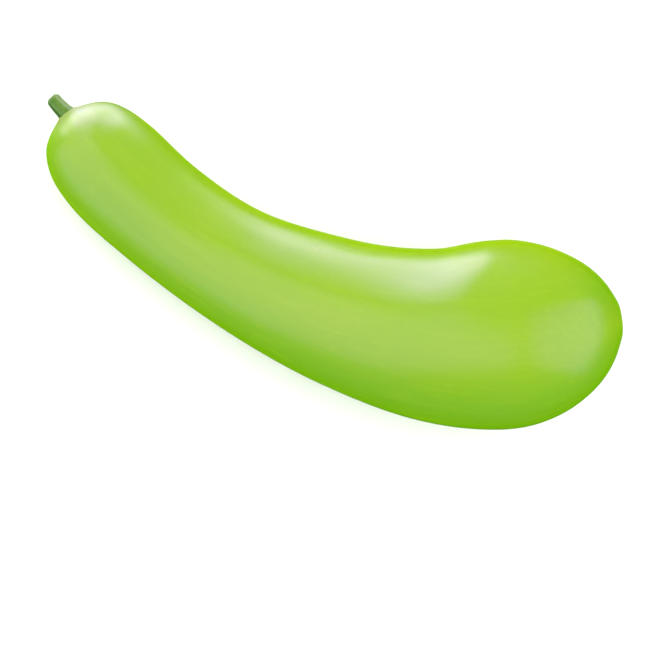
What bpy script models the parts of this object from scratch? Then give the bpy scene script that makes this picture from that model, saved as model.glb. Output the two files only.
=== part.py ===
"""Bottle gourd, as picked, lying on a flat surface. Metres, +Z up.

The fruit is one solid: a profile turned about a straight middle line, made uneven as a grown
thing is, then bent along a curve. The stem is short and five-sided, on the neck's end.
Both are shaped in the fruit's own frame, where the bend lies flat: the stem end is near the
origin, the blossom end is out along +X, and the hollow side of the bend faces +Y. One empty
then tips them as the fruit settles under its own weight.
"""

import math

import bmesh
import bpy
import numpy as np

# Girth: distance along the middle line from the stem end, and the radius there
GIRTH = (
    (0.0, 0.0),
    (0.002, 0.0084),
    (0.009, 0.0206),
    (0.020, 0.0272),
    (0.036, 0.0300),
    (0.075, 0.0303),
    (0.125, 0.0320),
    (0.180, 0.0394),
    (0.228, 0.0478),
    (0.262, 0.0501),
    (0.282, 0.0492),
    (0.302, 0.0427),
    (0.320, 0.0301),
    (0.330, 0.0156),
    (0.3340, 0.0),
)
NECK_RADIUS = 0.0303
ROW_LENGTH = 0.0065
AROUND = 54

# Middle line, in the plane of the bend: each point with its handle before and its handle after
MIDDLE_LINE = (
    ((0.0, 0.0), (0.0, 0.0), (0.0700, -0.0443)),
    ((0.2540, -0.0309), (0.1586, -0.0654), (0.2665, -0.0264)),
    ((0.3150, 0.0009), (0.2899, -0.0124), (0.3150, 0.0009)),
)
MIDDLE_LINE_STEPS = 96

# Pinch on the hollow side of the bend, just before the bulb
PINCH_AT = 0.228
PINCH_DEPTH = 0.0046
PINCH_REACH_TO_NECK = 0.038
PINCH_REACH_TO_BULB = 0.0215
PINCH_SHARPNESS = 3.0

# Shallow dents: depth, place along, degrees from the hollow side, reach along and round.
# A negative depth is a swelling.
DENTS = (
    (0.0013, 0.019, 0.0, 0.017, 0.040),
    (-0.0010, 0.150, 71.0, 0.026, 0.032),
    (0.0014, 0.217, 55.0, 0.0246, 0.0125),
)

# Ribs that run out from under the stem and fade on the neck
RIB_COUNT = 5
RIB_HEIGHT = 0.0005
RIB_PEAK = 0.011

# Slow unevenness of the whole fruit: height, length along the fruit, and lobes around it
SWELLS = ((0.0002, 0.115, 2), (0.00012, 0.068, -3))

# Scar of the flower at the blossom end
SCAR_DEPTH = 0.0007
SCAR_RADIUS = 0.0045

# Stem, from inside the neck's end out to the cut; its bearing and droop are in degrees
STEM_LENGTH = 0.0108
STEM_ROOT_DEPTH = 0.003
STEM_FOOT_RADIUS = 0.0045
STEM_TIP_RADIUS = 0.0037
STEM_FLARE = 0.0002
STEM_FLARE_LENGTH = 0.0012
STEM_SIDES = 5
STEM_FLATNESS = 0.62
STEM_AROUND = 30
STEM_STATIONS = 10
STEM_BEARING = 151.4
STEM_DROOP = 15.0
STEM_BEND = 0.0002
SEAT_GAP = 0.0003

# How the fruit settles, in degrees: lean about +X onto its belly, dip about +Y onto its neck
LEAN = 6.4
DIP = -6.1
GROUND_SHAVE = 0.0005
GROUND_LENGTH = 0.6
GROUND_WIDTH = 0.3
GROUND_DEPTH = 0.05

WELD_DISTANCE = 0.00001
SKIN_COLOUR = (0.33, 0.60, 0.03, 1.0)
SKIN_ROUGHNESS = 0.34
STEM_COLOUR = (0.16, 0.33, 0.06, 1.0)
STEM_ROUGHNESS = 0.62


def clear_scene():
    """Remove every object of the open file."""
    for thing in list(bpy.data.objects):
        bpy.data.objects.remove(thing, do_unlink=True)


def new_collection(name):
    """Make a collection in the scene."""
    group = bpy.data.collections.new(name)
    bpy.context.scene.collection.children.link(group)
    return group


def finish_material(name, colour, roughness):
    """Make a Principled BSDF material."""
    material = bpy.data.materials.new(name)
    material.use_nodes = True
    shader = material.node_tree.nodes["Principled BSDF"]
    shader.inputs["Base Color"].default_value = colour
    shader.inputs["Roughness"].default_value = roughness
    shader.inputs["Metallic"].default_value = 0.0
    material.diffuse_color = colour
    return material


def smooth_line(knots):
    """Points of a smooth line through the knots, square to the axis at both ends."""
    knots = np.array(knots)
    reaches = np.hypot(*np.diff(knots, axis=0).T)
    steps = reaches**0.5
    at = np.concatenate([[0.0], np.cumsum(steps)])
    slopes = np.zeros_like(knots)
    for i in range(1, len(knots) - 1):
        before, after = at[i] - at[i - 1], at[i + 1] - at[i]
        slopes[i] = (
            (knots[i] - knots[i - 1]) / before
            - (knots[i + 1] - knots[i - 1]) / (before + after)
            + (knots[i + 1] - knots[i]) / after
        )
    slopes[0] = (0.0, 1.5 * (knots[1, 1] - knots[0, 1]) / steps[0])
    slopes[-1] = (0.0, 1.5 * (knots[-1, 1] - knots[-2, 1]) / steps[-1])
    points = []
    for i, step in enumerate(steps):
        rows = max(2, round(reaches[i] / ROW_LENGTH))
        for k in range(rows):
            u = k / rows
            points.append(
                (2 * u**3 - 3 * u**2 + 1) * knots[i]
                + (u**3 - 2 * u**2 + u) * step * slopes[i]
                + (3 * u**2 - 2 * u**3) * knots[i + 1]
                + (u**3 - u**2) * step * slopes[i + 1]
            )
    points.append(knots[-1])
    return points


def hidden_guide(thing, group):
    """Keep a cutter or a guide out of the render."""
    group.objects.link(thing)
    thing.hide_render = True
    thing.display_type = "WIRE"
    return thing


def turned_fruit(group):
    """Turn the girth's profile about +Z and return the closed mesh."""
    profile = [(radius, 0.0, along) for along, radius in smooth_line(GIRTH)]
    profile.reverse()
    mesh = bpy.data.meshes.new("girth_profile")
    mesh.from_pydata(profile, [(i, i + 1) for i in range(len(profile) - 1)], [])
    line = bpy.data.objects.new("girth_profile", mesh)
    group.objects.link(line)
    screw = line.modifiers.new("turn", "SCREW")
    screw.axis = "Z"
    screw.steps = AROUND
    screw.render_steps = AROUND
    screw.use_merge_vertices = True
    screw.merge_threshold = WELD_DISTANCE
    screw.use_smooth_shade = True
    view = bpy.context.evaluated_depsgraph_get()
    turned = bpy.data.meshes.new_from_object(line.evaluated_get(view))
    bpy.data.objects.remove(line, do_unlink=True)
    return turned


def arc(turn, degrees):
    """Angle between a turn and a bearing in degrees, the short way round."""
    return math.remainder(turn - math.radians(degrees), 2.0 * math.pi)


def grown_radius(radius, along, turn):
    """Radius of the uneven fruit at a place along it and a turn from the hollow side."""
    reach = PINCH_REACH_TO_NECK if along < PINCH_AT else PINCH_REACH_TO_BULB
    inner_side = ((1.0 + math.cos(turn)) / 2.0) ** PINCH_SHARPNESS
    pinch = PINCH_DEPTH * math.exp(-(((along - PINCH_AT) / reach) ** 2)) * inner_side
    near_stem = (along / RIB_PEAK) * math.exp(1.0 - along / RIB_PEAK)
    rib = RIB_HEIGHT * near_stem * math.cos(RIB_COUNT * turn)
    swell = sum(
        height * math.sin(2.0 * math.pi * along / length + lobes * turn)
        for height, length, lobes in SWELLS
    )
    dent = sum(
        depth * math.exp(-(((along - at) / length) ** 2) - (radius * arc(turn, side) / width) ** 2)
        for depth, at, side, length, width in DENTS
    )
    return radius - pinch - dent + rib + swell * min(1.0, radius / NECK_RADIUS)


def grow_fruit(mesh):
    """Lay the turned mesh along +X, its hollow side to +Y, and make it uneven."""
    for vertex in mesh.vertices:
        toward_hollow, up, along = vertex.co
        radius = math.hypot(toward_hollow, up)
        turn = math.atan2(up, toward_hollow)
        if radius > 0.0:
            grown = grown_radius(radius, along, turn)
            toward_hollow *= grown / radius
            up *= grown / radius
        if along > GIRTH[-2][0]:
            along -= SCAR_DEPTH * math.exp(-((radius / SCAR_RADIUS) ** 2))
        vertex.co = (along, toward_hollow, up)
    mesh.shade_smooth()


def middle_line(group, carrier):
    """Curve that the fruit is bent along."""
    curve = bpy.data.curves.new("middle_line", "CURVE")
    curve.dimensions = "3D"
    curve.twist_mode = "Z_UP"
    curve.resolution_u = MIDDLE_LINE_STEPS
    spline = curve.splines.new("BEZIER")
    spline.bezier_points.add(len(MIDDLE_LINE) - 1)
    for point, (place, before, after) in zip(spline.bezier_points, MIDDLE_LINE):
        point.handle_left_type = "FREE"
        point.handle_right_type = "FREE"
        point.co = (*place, 0.0)
        point.handle_left = (*before, 0.0)
        point.handle_right = (*after, 0.0)
    guide = hidden_guide(bpy.data.objects.new("middle_line", curve), group)
    guide.parent = carrier
    return guide


def bend(thing, guide):
    """Bend an object that lies along +X to follow the middle line."""
    modifier = thing.modifiers.new("bend", "CURVE")
    modifier.object = guide
    modifier.deform_axis = "POS_X"


def cut_away(thing, cutter):
    """Take a cutter's volume from an object."""
    modifier = thing.modifiers.new("cut", "BOOLEAN")
    modifier.operation = "DIFFERENCE"
    modifier.solver = "EXACT"
    modifier.object = cutter


def stem_section(group):
    """Closed outline of the stem: five sides with soft corners, one side facing up."""
    curve = bpy.data.curves.new("stem_section", "CURVE")
    curve.dimensions = "2D"
    spline = curve.splines.new("POLY")
    spline.points.add(STEM_AROUND - 1)
    spline.use_cyclic_u = True
    side = 2.0 * math.pi / STEM_SIDES
    for i, point in enumerate(spline.points):
        turn = 2.0 * math.pi * i / STEM_AROUND
        from_face = (turn + side / 2.0) % side - side / 2.0
        flat = math.cos(side / 2.0) / math.cos(from_face)
        reach = STEM_FLATNESS * flat + 1.0 - STEM_FLATNESS
        point.co = (reach * math.sin(turn), reach * math.cos(turn), 0.0, 1.0)
    return hidden_guide(bpy.data.objects.new("stem_section", curve), group)


def swept_stem(section, group):
    """Sweep the stem's section from inside the neck's end out to the cut."""
    curve = bpy.data.curves.new("stem_line", "CURVE")
    curve.dimensions = "3D"
    curve.twist_mode = "Z_UP"
    curve.bevel_mode = "OBJECT"
    curve.bevel_object = section
    curve.use_fill_caps = True
    spline = curve.splines.new("POLY")
    spline.points.add(STEM_STATIONS - 1)
    bearing, droop = math.radians(STEM_BEARING), math.radians(STEM_DROOP)
    level = math.cos(droop)
    out = np.array([math.cos(bearing) * level, math.sin(bearing) * level, -math.sin(droop)])
    aside = np.array([-math.sin(bearing), math.cos(bearing), 0.0])
    for i, point in enumerate(spline.points):
        share = i / (STEM_STATIONS - 1)
        along = -STEM_ROOT_DEPTH + share * (STEM_LENGTH + STEM_ROOT_DEPTH)
        clear = max(0.0, along) / STEM_LENGTH
        taper = STEM_FOOT_RADIUS + (STEM_TIP_RADIUS - STEM_FOOT_RADIUS) * clear
        flare = STEM_FLARE * math.exp(-max(0.0, along) / STEM_FLARE_LENGTH)
        point.co = (*(out * along + aside * STEM_BEND * math.sin(math.pi * clear)), 1.0)
        point.radius = taper + flare
    line = bpy.data.objects.new("stem_line", curve)
    group.objects.link(line)
    view = bpy.context.evaluated_depsgraph_get()
    mesh = bpy.data.meshes.new_from_object(line.evaluated_get(view))
    bpy.data.objects.remove(line, do_unlink=True)
    return mesh


def weld(mesh):
    """Join the caps of a swept mesh to its sides."""
    work = bmesh.new()
    work.from_mesh(mesh)
    bmesh.ops.remove_doubles(work, verts=work.verts, dist=WELD_DISTANCE)
    bmesh.ops.recalc_face_normals(work, faces=work.faces)
    work.to_mesh(mesh)
    work.free()


def lowest_and_highest(things):
    """World box of the evaluated objects."""
    bpy.context.view_layer.update()
    view = bpy.context.evaluated_depsgraph_get()
    corners = []
    for thing in things:
        mesh = bpy.data.meshes.new_from_object(thing.evaluated_get(view))
        corners += [thing.matrix_world @ vertex.co for vertex in mesh.vertices]
        bpy.data.meshes.remove(mesh)
    corners = np.array(corners)
    return corners.min(axis=0), corners.max(axis=0)


def ground_block(group):
    """Block under the surface that the fruit lies on: it presses the low spots flat."""
    bpy.ops.mesh.primitive_cube_add(size=1.0, location=(0.0, 0.0, -GROUND_DEPTH / 2.0))
    block = bpy.context.object
    block.name = "ground_block"
    block.scale = (GROUND_LENGTH, GROUND_WIDTH, GROUND_DEPTH)
    for owner in list(block.users_collection):
        owner.objects.unlink(block)
    return hidden_guide(block, group)


def build():
    """Build the gourd."""
    clear_scene()
    gourd = new_collection("bottle_gourd")
    guides = new_collection("guides")

    settled = bpy.data.objects.new("settled_pose", None)
    gourd.objects.link(settled)
    settled.rotation_euler = (math.radians(LEAN), math.radians(DIP), 0.0)
    guide = middle_line(guides, settled)

    fruit_mesh = turned_fruit(guides)
    grow_fruit(fruit_mesh)
    fruit_mesh.materials.append(finish_material("gourd_skin", SKIN_COLOUR, SKIN_ROUGHNESS))
    fruit = bpy.data.objects.new("fruit", fruit_mesh)
    gourd.objects.link(fruit)
    fruit.parent = settled
    bend(fruit, guide)

    seat = hidden_guide(bpy.data.objects.new("stem_seat", fruit_mesh), guides)
    seat.parent = settled
    skin_gap = seat.modifiers.new("gap", "DISPLACE")
    skin_gap.direction = "NORMAL"
    skin_gap.mid_level = 0.0
    skin_gap.strength = SEAT_GAP
    bend(seat, guide)

    stem_mesh = swept_stem(stem_section(guides), guides)
    weld(stem_mesh)
    stem_mesh.materials.append(finish_material("gourd_stem", STEM_COLOUR, STEM_ROUGHNESS))
    stem = bpy.data.objects.new("stem", stem_mesh)
    gourd.objects.link(stem)
    stem.parent = settled
    cut_away(stem, seat)

    low, high = lowest_and_highest([fruit, stem])
    middle = (low + high) / 2.0
    settled.location = (-middle[0], -middle[1], -low[2] - GROUND_SHAVE)
    cut_away(fruit, ground_block(guides))


build()
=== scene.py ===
"""Bottle gourd: the looks of its rind and stem, with a studio floor, lights and camera.

The fruit is shaped straight first, in coordinates that run along it and round it. It is then
bent along its middle line, tipped as it settles, and pressed flat where it touches the floor.
The stem grows out where the middle line starts, and a cut face of its own closes it.
Metres throughout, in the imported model's frame.
"""

import logging
import math
from dataclasses import dataclass, field
from enum import Enum
from typing import Any

import bpy
import numpy as np
from mathutils import Matrix, Vector


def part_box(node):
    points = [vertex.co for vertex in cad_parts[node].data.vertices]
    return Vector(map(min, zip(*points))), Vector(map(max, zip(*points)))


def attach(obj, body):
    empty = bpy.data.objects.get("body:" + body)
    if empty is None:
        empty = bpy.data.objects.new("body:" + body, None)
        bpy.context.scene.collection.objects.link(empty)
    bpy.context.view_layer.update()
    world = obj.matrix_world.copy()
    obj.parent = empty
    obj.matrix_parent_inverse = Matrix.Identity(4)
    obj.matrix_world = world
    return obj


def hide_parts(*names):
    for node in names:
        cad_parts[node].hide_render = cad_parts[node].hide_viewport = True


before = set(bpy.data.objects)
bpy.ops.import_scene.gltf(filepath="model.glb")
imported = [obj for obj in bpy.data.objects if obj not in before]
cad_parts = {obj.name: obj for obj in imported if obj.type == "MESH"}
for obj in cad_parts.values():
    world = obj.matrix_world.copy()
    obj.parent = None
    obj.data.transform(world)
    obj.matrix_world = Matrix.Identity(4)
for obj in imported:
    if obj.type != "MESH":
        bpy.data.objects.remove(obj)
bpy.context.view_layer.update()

LOG = logging.getLogger("bottle_gourd")
Colour = tuple[float, float, float]
Array = np.ndarray
Socket = bpy.types.NodeSocket


class Slot(Enum):
    """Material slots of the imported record."""

    SKIN = "skin"
    STEM = "stem"


class Carried(Enum):
    """What a mesh carries at its points for its material to read."""

    GROWN = "grown"
    OUTER = "outer"
    SCAR = "scar"
    RIDGE = "ridge"
    OUTWARD = "outward"
    STRANDS = "strands"


class Joining(Enum):
    """How two numbers are joined in a material."""

    SUM = "ADD"
    DIFFERENCE = "SUBTRACT"
    PRODUCT = "MULTIPLY"


class Use(Enum):
    """What a lamp lights: the gloss, or matte surfaces."""

    GLOSS = "glow"
    MATTE = "fill"


@dataclass(frozen=True)
class Fade:
    """A smooth change from one strength to another, held at both ends.

    Attributes:
        start: Where the change starts.
        stop: Where it ends.
        before: The strength up to the start.
        after: The strength from the stop on.
    """

    start: float
    stop: float
    before: float = 0.0
    after: float = 1.0


@dataclass(frozen=True)
class Grain:
    """How fine a natural pattern is.

    Attributes:
        scale: Its features in a metre.
        lengthwise: Share of that scale along the piece, below 1 where features are drawn out.
        detail: Layers of finer features.
        rough: How strong the finer layers are.
    """

    scale: float
    lengthwise: float = 1.0
    detail: float = 3.0
    rough: float = 0.5


@dataclass(frozen=True)
class Relief:
    """Fine relief in the shading, on top of what the mesh has.

    Attributes:
        depth: Metres.
        strength: How much of it shows, from 0 to 1.
    """

    depth: float
    strength: float


@dataclass(frozen=True)
class MiddleLine:
    """The bent line through the middle of the fruit, in the plane of its bend.

    Attributes:
        knots: Each knot with the handle before it and the handle after it.
        steps: Points worked out on each span.
        easing: Metres over which the fruit's rings share out each change of direction.
    """

    knots: tuple[tuple[tuple[float, float], ...], ...] = (
        ((0.0, 0.0), (0.0, 0.0), (0.0700, -0.0443)),
        ((0.2540, -0.0309), (0.1586, -0.0654), (0.2665, -0.0264)),
        ((0.3150, 0.0009), (0.2899, -0.0124), (0.3150, 0.0009)),
    )
    steps: int = 600
    easing: float = 0.006

    def follow(self) -> tuple[Array, Array]:
        """Walk the line from the stem end to the blossom end.

        Returns:
            The places on it, and how far along it each one is.
        """
        spans = []
        share = np.linspace(0.0, 1.0, self.steps)[:, None]
        for (start, _, leave), (end, arrive, _) in zip(self.knots, self.knots[1:]):
            spans.append(
                (1 - share) ** 3 * np.array(start)
                + 3 * (1 - share) ** 2 * share * np.array(leave)
                + 3 * (1 - share) * share**2 * np.array(arrive)
                + share**3 * np.array(end)
            )
        places = np.vstack([spans[0]] + [span[1:] for span in spans[1:]])
        reach = np.concatenate([[0.0], np.cumsum(np.hypot(*np.diff(places, axis=0).T))])
        return places, reach

    def headings(self, places: Array, reach: Array) -> tuple[Array, Array]:
        """Which way the fruit's rings face, eased so that they do not bunch up in the hollow.

        Args:
            places: The places on the line.
            reach: How far along the line each one is.

        Returns:
            Even distances along the line, and the angle from +X at each, in radians.
        """
        ahead = np.gradient(places, axis=0)
        even = np.linspace(0.0, reach[-1], 2 * self.steps)
        step = even[1]
        heading = np.interp(even, reach, np.unwrap(np.arctan2(ahead[:, 1], ahead[:, 0])))
        # A bell curve, cut off at three times its spread, where next to nothing is left of it.
        wide = round(3.0 * self.easing / step)
        share = np.exp(-0.5 * (np.arange(-wide, wide + 1) * step / self.easing) ** 2)
        padded = np.pad(heading, wide, mode="reflect", reflect_type="odd")
        return even, np.convolve(padded, share / share.sum(), mode="valid")

    def bend(self, straight: Array) -> Array:
        """Carry points of the straight fruit onto the bent line.

        Args:
            straight: Points as (along, toward the hollow side, up), shape (..., 3).

        Returns:
            The same points bent, in the fruit's own frame.
        """
        places, reach = self.follow()
        along = straight[..., 0]
        inside = np.clip(along, 0.0, reach[-1])
        centre = [np.interp(inside, reach, places[:, k]) for k in (0, 1)]
        heading = np.interp(inside, *self.headings(places, reach))
        ahead = [np.cos(heading), np.sin(heading)]
        over = along - inside
        aside = straight[..., 1]
        return np.stack(
            [
                centre[0] + over * ahead[0] - aside * ahead[1],
                centre[1] + over * ahead[1] + aside * ahead[0],
                straight[..., 2],
            ],
            axis=-1,
        )


@dataclass(frozen=True)
class Girth:
    """The fruit's radius along its middle line.

    Attributes:
        knots: Distance from the stem end, and the radius there.
        fineness: Points worked out between two knots.
    """

    knots: tuple[tuple[float, float], ...] = (
        (0.0, 0.0),
        (0.002, 0.0084),
        (0.009, 0.0206),
        (0.020, 0.0272),
        (0.036, 0.0300),
        (0.075, 0.0303),
        (0.125, 0.0320),
        (0.180, 0.0394),
        (0.228, 0.0478),
        (0.262, 0.0501),
        (0.282, 0.0492),
        (0.302, 0.0427),
        (0.320, 0.0301),
        (0.330, 0.0156),
        (0.3340, 0.0),
    )
    fineness: int = 60

    def line(self) -> Array:
        """Smooth line through the knots, square to the middle line at both ends.

        Returns:
            Rows of (along, radius).
        """
        knots = np.array(self.knots)
        steps = np.hypot(*np.diff(knots, axis=0).T) ** 0.5
        slopes = np.zeros_like(knots)
        for i in range(1, len(knots) - 1):
            before, after = steps[i - 1], steps[i]
            slopes[i] = (
                (knots[i] - knots[i - 1]) / before
                - (knots[i + 1] - knots[i - 1]) / (before + after)
                + (knots[i + 1] - knots[i]) / after
            )
        slopes[0] = (0.0, 1.5 * (knots[1, 1] - knots[0, 1]) / steps[0])
        slopes[-1] = (0.0, 1.5 * (knots[-1, 1] - knots[-2, 1]) / steps[-1])
        share = np.linspace(0.0, 1.0, self.fineness, endpoint=False)[:, None]
        spans = [
            (2 * share**3 - 3 * share**2 + 1) * knots[i]
            + (share**3 - 2 * share**2 + share) * step * slopes[i]
            + (3 * share**2 - 2 * share**3) * knots[i + 1]
            + (share**3 - share**2) * step * slopes[i + 1]
            for i, step in enumerate(steps)
        ]
        return np.vstack(spans + [knots[-1:]])

    def rows(self, count: int) -> Array:
        """Evenly spaced rows down the fruit's outline.

        Args:
            count: Rows, with both poles.

        Returns:
            Rows of (along, radius).
        """
        line = self.line()
        run = np.concatenate([[0.0], np.cumsum(np.hypot(*np.diff(line, axis=0).T))])
        even = np.linspace(0.0, run[-1], count)
        return np.stack([np.interp(even, run, line[:, k]) for k in (0, 1)], axis=1)


@dataclass(frozen=True)
class Settled:
    """How the fruit lies on the floor.

    Attributes:
        lean: Degrees about +X, onto its belly.
        dip: Degrees about +Y, onto its neck.
    """

    lean: float = 6.4
    dip: float = -6.1

    def turn(self) -> Array:
        """Find how the fruit is tipped.

        Returns:
            The rotation from the fruit's own frame to the model's, as a 3 by 3 array.
        """
        tip = Matrix.Rotation(math.radians(self.dip), 3, "Y")
        roll = Matrix.Rotation(math.radians(self.lean), 3, "X")
        return np.array(tip @ roll)

    def shift(self, turned: Array, node: str) -> Array:
        """Find where turned points go so that they fill a node's box.

        Args:
            turned: Points after the rotation, shape (n, 3).
            node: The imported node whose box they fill.

        Returns:
            The move, level with the node's middle and with its top.
        """
        low, high = (np.array(corner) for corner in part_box(node))
        own_low, own_high = turned.min(axis=0), turned.max(axis=0)
        move = (low + high - own_low - own_high) / 2.0
        move[2] = high[2] - own_high[2]
        return move


class Recipe:
    """A material in the making, with its node tree and its shader."""

    def __init__(self, name: str) -> None:
        """Start a material.

        Args:
            name: The material's name.
        """
        self.material = bpy.data.materials.new(name)
        self.material.use_nodes = True
        self.tree = self.material.node_tree
        self.shader = self.tree.nodes["Principled BSDF"]

    def node(
        self, kind: str, settings: dict[str, str] | None = None, **feeds: Any
    ) -> bpy.types.Node:
        """Add a node.

        Args:
            kind: The node's type.
            settings: Properties to set on the node.
            feeds: Input sockets by name, with _ for a space, each a value or an output.

        Returns:
            The node.
        """
        made = self.tree.nodes.new(kind)
        for key, value in (settings or {}).items():
            setattr(made, key, value)
        for key, value in feeds.items():
            self.feed(made.inputs[key.replace("_", " ")], value)
        return made

    def feed(self, socket: Socket, value: Any) -> None:
        """Link an output to a socket, or set the socket's own value.

        Args:
            socket: The input.
            value: The output or the value that it gets.
        """
        if isinstance(value, Socket):
            self.tree.links.new(value, socket)
        else:
            socket.default_value = value

    def set(self, **values: Any) -> None:
        """Set or link the shader's inputs, by name with _ for a space."""
        for key, value in values.items():
            self.feed(self.shader.inputs[key.replace("_", " ")], value)

    def carried(self, what: Carried, output: str = "Fac") -> Socket:
        """Read what the mesh carries: a number, or with the output "Vector" a place."""
        return self.node("ShaderNodeAttribute", {"attribute_name": what.value}).outputs[output]

    def drawn_out(self, places: Socket, grain: Grain) -> Socket:
        """Draw places out along the piece.

        Args:
            places: The places, in metres.
            grain: The grain that says by how much.

        Returns:
            The places for the noise.
        """
        if grain.lengthwise == 1.0:
            return places
        scale = (grain.lengthwise, 1.0, 1.0)
        return self.node("ShaderNodeMapping", Vector=places, Scale=scale).outputs["Vector"]

    def clouds(self, places: Socket, grain: Grain) -> Socket:
        """Make soft noise.

        Args:
            places: Where it is read, in metres.
            grain: How fine it is.

        Returns:
            A number from 0 to 1.
        """
        made = self.node(
            "ShaderNodeTexNoise",
            Vector=self.drawn_out(places, grain),
            Scale=grain.scale,
            Detail=grain.detail,
            Roughness=grain.rough,
        )
        return made.outputs["Fac"]

    def cells(self, places: Socket, grain: Grain) -> Socket:
        """Scatter spots.

        Args:
            places: Where they are read, in metres.
            grain: How close together they are.

        Returns:
            The distance from the middle of the nearest spot.
        """
        vector = self.drawn_out(places, grain)
        made = self.node("ShaderNodeTexVoronoi", Vector=vector, Scale=grain.scale)
        return made.outputs["Distance"]

    def fade(self, value: Socket, fade: Fade) -> Socket:
        """Carry a number through a fade.

        Args:
            value: The number.
            fade: The fade.

        Returns:
            The fade's strength at that number.
        """
        made = self.node(
            "ShaderNodeMapRange",
            {"interpolation_type": "SMOOTHSTEP"},
            Value=value,
            From_Min=fade.start,
            From_Max=fade.stop,
            To_Min=fade.before,
            To_Max=fade.after,
        )
        return made.outputs["Result"]

    def joined(self, first: Socket, joining: Joining, second: Socket) -> Socket:
        """Join two numbers.

        Args:
            first: The first number.
            joining: How they are joined.
            second: The second number.

        Returns:
            The joined number.
        """
        made = self.node("ShaderNodeMath", {"operation": joining.value})
        for socket, value in zip(made.inputs, (first, second)):
            self.feed(socket, value)
        return made.outputs["Value"]

    def overlap(self, first: Socket, second: Socket) -> Socket:
        """Strength where two fades overlap."""
        return self.joined(first, Joining.PRODUCT, second)

    def layer(self, amount: Socket, under: Socket | Colour, over: Socket | Colour) -> Socket:
        """Lay one colour over another.

        Args:
            amount: How much of the upper colour shows, from 0 to 1.
            under: The lower colour.
            over: The upper colour.

        Returns:
            The joined colour.
        """
        made = self.node("ShaderNodeMix", {"data_type": "RGBA"})
        for name, value in (("Factor_Float", amount), ("A_Color", under), ("B_Color", over)):
            socket = next(s for s in made.inputs if s.identifier == name)
            self.feed(socket, (*value, 1.0) if isinstance(value, tuple) else value)
        return next(s for s in made.outputs if s.identifier == "Result_Color")

    def relief(self, height: Socket, relief: Relief, under: Socket | None = None) -> Socket:
        """Raise fine relief in the shading.

        Args:
            height: A number from 0 to 1 at each place.
            relief: How deep the relief is.
            under: Relief that this one lies on.

        Returns:
            The shading's direction.
        """
        made = self.node(
            "ShaderNodeBump", Height=height, Distance=relief.depth, Strength=relief.strength
        )
        if under is not None:
            self.feed(made.inputs["Normal"], under)
        return made.outputs["Normal"]


class GrownRecipe(Recipe):
    """A material for a grown piece, whose mesh carries each point's place before it was bent.

    Attributes:
        grown: That place: along the piece, and in two directions across it.
        along: The distance along the piece.
        aside: The distance across it in the plane of the bend.
    """

    def __init__(self, name: str) -> None:
        """Start a material and read the mesh's places.

        Args:
            name: The material's name.
        """
        super().__init__(name)
        self.grown = self.carried(Carried.GROWN, "Vector")
        parts = self.node("ShaderNodeSeparateXYZ", Vector=self.grown).outputs
        self.along, self.aside = parts["X"], parts["Y"]


@dataclass(frozen=True)
class Region:
    """A part of the rind laid over with a colour, its own or painted shade, strongest where all its
    fades are.

    Attributes:
        colour: That colour.
        along: Fade by metres from the stem end.
        across: Fade from -1, the hollow side of the bend, to 1, its outer side. Without one, the
            region goes all round, and ends by a second fade along the fruit.
        ends: That second fade.
    """

    colour: Colour
    along: Fade
    across: Fade | None = None
    ends: Fade | None = None


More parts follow.
